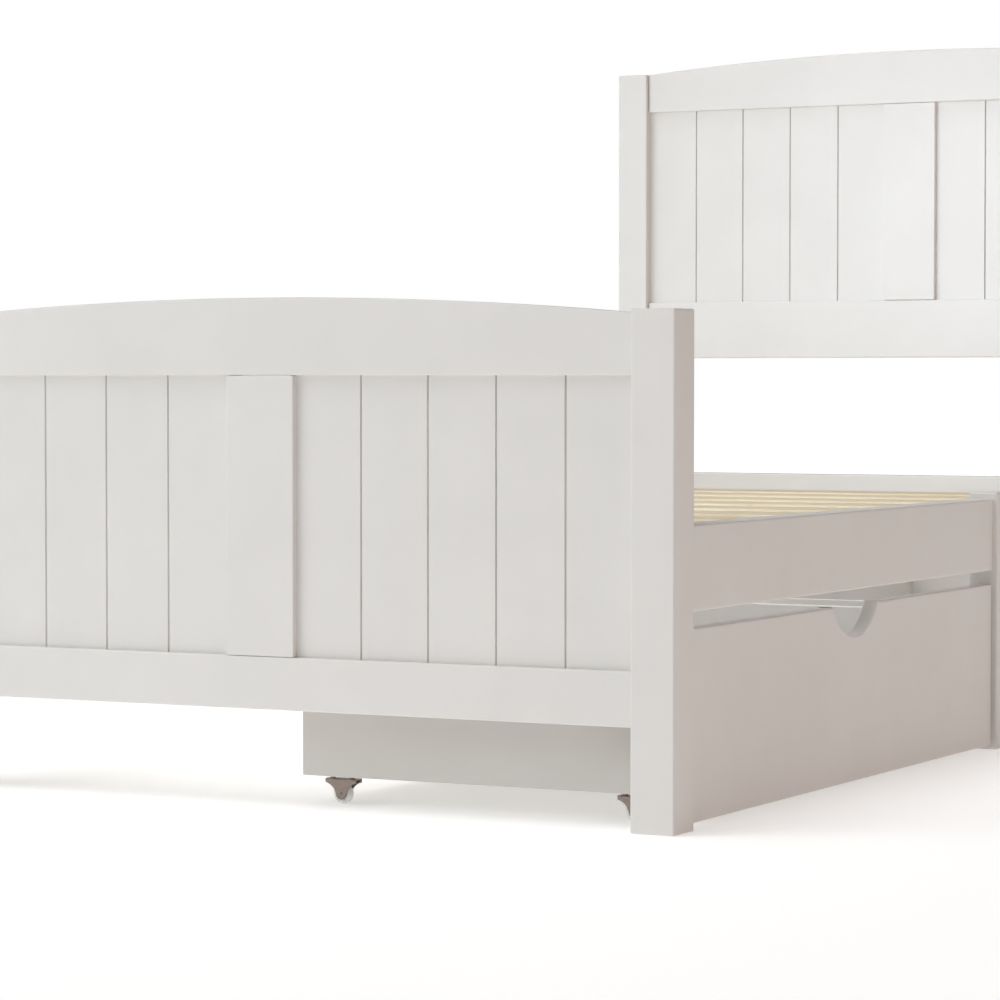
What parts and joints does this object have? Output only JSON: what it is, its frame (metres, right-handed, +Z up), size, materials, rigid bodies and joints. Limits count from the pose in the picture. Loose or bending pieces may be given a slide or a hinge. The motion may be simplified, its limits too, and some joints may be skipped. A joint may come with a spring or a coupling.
{
  "type": "single bed frame",
  "caption": "Painted wooden single bed frame with arched panelled headboard and footboard, slatted base and under-bed drawers on castors.",
  "frame": {"origin": "centre of the bed's footprint on the floor", "axes": "+Y along the bed towards the headboard, +X across it towards the drawer fronts, +Z up"},
  "size_m": [1.002, 1.994, 0.983],
  "materials": {
    "painted_wood": "satin white lacquer on solid wood and MDF",
    "pine": "planed bare pine",
    "drawer_board": "white-faced particle board",
    "castor_steel": "pressed zinc-plated steel",
    "castor_wheel": "natural white polypropylene"
  },
  "bodies": {
    "frame": {"foot_post_right": "painted_wood", "foot_panel_right": "painted_wood", "foot_post_left": "painted_wood", "foot_panel_left": "painted_wood", "foot_top_rail": "painted_wood", "foot_lower_rail": "painted_wood", "foot_stile": "painted_wood", "head_post_right": "painted_wood", "head_panel_right": "painted_wood", "head_post_left": "painted_wood", "head_panel_left": "painted_wood", "head_top_rail": "painted_wood", "head_lower_rail": "painted_wood", "head_stile": "painted_wood", "head_cross_rail": "painted_wood", "side_rail_right_front": "painted_wood", "side_rail_right_rear": "painted_wood", "middle_leg_right": "painted_wood", "slat_ledger_right": "painted_wood", "side_rail_left_front": "painted_wood", "side_rail_left_rear": "painted_wood", "middle_leg_left": "painted_wood", "slat_ledger_left": "painted_wood", "slat_01": "pine", "slat_02": "pine", "slat_03": "pine", "slat_04": "pine", "slat_05": "pine", "slat_06": "pine", "slat_07": "pine", "slat_08": "pine", "slat_09": "pine", "slat_10": "pine", "slat_11": "pine"},
    "drawer_front": {"drawer_front_face": "painted_wood", "drawer_front_end_foot": "drawer_board", "drawer_front_end_head": "drawer_board", "drawer_front_back": "drawer_board", "drawer_front_bottom": "drawer_board", "drawer_front_castor_1": "castor_steel", "drawer_front_castor_2": "castor_steel", "drawer_front_castor_3": "castor_steel", "drawer_front_castor_4": "castor_steel"},
    "drawer_front_wheel_1": {"drawer_front_wheel_1": "castor_wheel"},
    "drawer_front_wheel_2": {"drawer_front_wheel_2": "castor_wheel"},
    "drawer_front_wheel_3": {"drawer_front_wheel_3": "castor_wheel"},
    "drawer_front_wheel_4": {"drawer_front_wheel_4": "castor_wheel"},
    "drawer_rear": {"drawer_rear_face": "painted_wood", "drawer_rear_end_foot": "drawer_board", "drawer_rear_end_head": "drawer_board", "drawer_rear_back": "drawer_board", "drawer_rear_bottom": "drawer_board", "drawer_rear_castor_1": "castor_steel", "drawer_rear_castor_2": "castor_steel", "drawer_rear_castor_3": "castor_steel", "drawer_rear_castor_4": "castor_steel"},
    "drawer_rear_wheel_1": {"drawer_rear_wheel_1": "castor_wheel"},
    "drawer_rear_wheel_2": {"drawer_rear_wheel_2": "castor_wheel"},
    "drawer_rear_wheel_3": {"drawer_rear_wheel_3": "castor_wheel"},
    "drawer_rear_wheel_4": {"drawer_rear_wheel_4": "castor_wheel"}
  },
  "joints": [
    {"name": "drawer_front_slide", "type": "slide", "parent": "frame", "child": "drawer_front", "axis": [1, 0, 0], "range_m": [0, 0.46]},
    {"name": "drawer_front_wheel_1_spin", "type": "hinge", "parent": "drawer_front", "child": "drawer_front_wheel_1", "pos_m": [0.0575, -0.907, 0.012], "axis": [0, 1, 0], "continuous": true},
    {"name": "drawer_front_wheel_2_spin", "type": "hinge", "parent": "drawer_front", "child": "drawer_front_wheel_2", "pos_m": [0.416, -0.907, 0.012], "axis": [0, 1, 0], "continuous": true},
    {"name": "drawer_front_wheel_3_spin", "type": "hinge", "parent": "drawer_front", "child": "drawer_front_wheel_3", "pos_m": [0.0575, -0.065, 0.012], "axis": [0, 1, 0], "continuous": true},
    {"name": "drawer_front_wheel_4_spin", "type": "hinge", "parent": "drawer_front", "child": "drawer_front_wheel_4", "pos_m": [0.416, -0.065, 0.012], "axis": [0, 1, 0], "continuous": true},
    {"name": "drawer_rear_slide", "type": "slide", "parent": "frame", "child": "drawer_rear", "axis": [1, 0, 0], "range_m": [0, 0.46]},
    {"name": "drawer_rear_wheel_1_spin", "type": "hinge", "parent": "drawer_rear", "child": "drawer_rear_wheel_1", "pos_m": [0.0575, 0.065, 0.012], "axis": [0, 1, 0], "continuous": true},
    {"name": "drawer_rear_wheel_2_spin", "type": "hinge", "parent": "drawer_rear", "child": "drawer_rear_wheel_2", "pos_m": [0.416, 0.065, 0.012], "axis": [0, 1, 0], "continuous": true},
    {"name": "drawer_rear_wheel_3_spin", "type": "hinge", "parent": "drawer_rear", "child": "drawer_rear_wheel_3", "pos_m": [0.0575, 0.907, 0.012], "axis": [0, 1, 0], "continuous": true},
    {"name": "drawer_rear_wheel_4_spin", "type": "hinge", "parent": "drawer_rear", "child": "drawer_rear_wheel_4", "pos_m": [0.416, 0.907, 0.012], "axis": [0, 1, 0], "continuous": true}
  ],
  "couplings": [
    {"joint": "drawer_front_wheel_1_spin", "follows": "drawer_front_slide", "rad_per_m": 83.333},
    {"joint": "drawer_front_wheel_2_spin", "follows": "drawer_front_slide", "rad_per_m": 83.333},
    {"joint": "drawer_front_wheel_3_spin", "follows": "drawer_front_slide", "rad_per_m": 83.333},
    {"joint": "drawer_front_wheel_4_spin", "follows": "drawer_front_slide", "rad_per_m": 83.333},
    {"joint": "drawer_rear_wheel_1_spin", "follows": "drawer_rear_slide", "rad_per_m": 83.333},
    {"joint": "drawer_rear_wheel_2_spin", "follows": "drawer_rear_slide", "rad_per_m": 83.333},
    {"joint": "drawer_rear_wheel_3_spin", "follows": "drawer_rear_slide", "rad_per_m": 83.333},
    {"joint": "drawer_rear_wheel_4_spin", "follows": "drawer_rear_slide", "rad_per_m": 83.333}
  ]
}
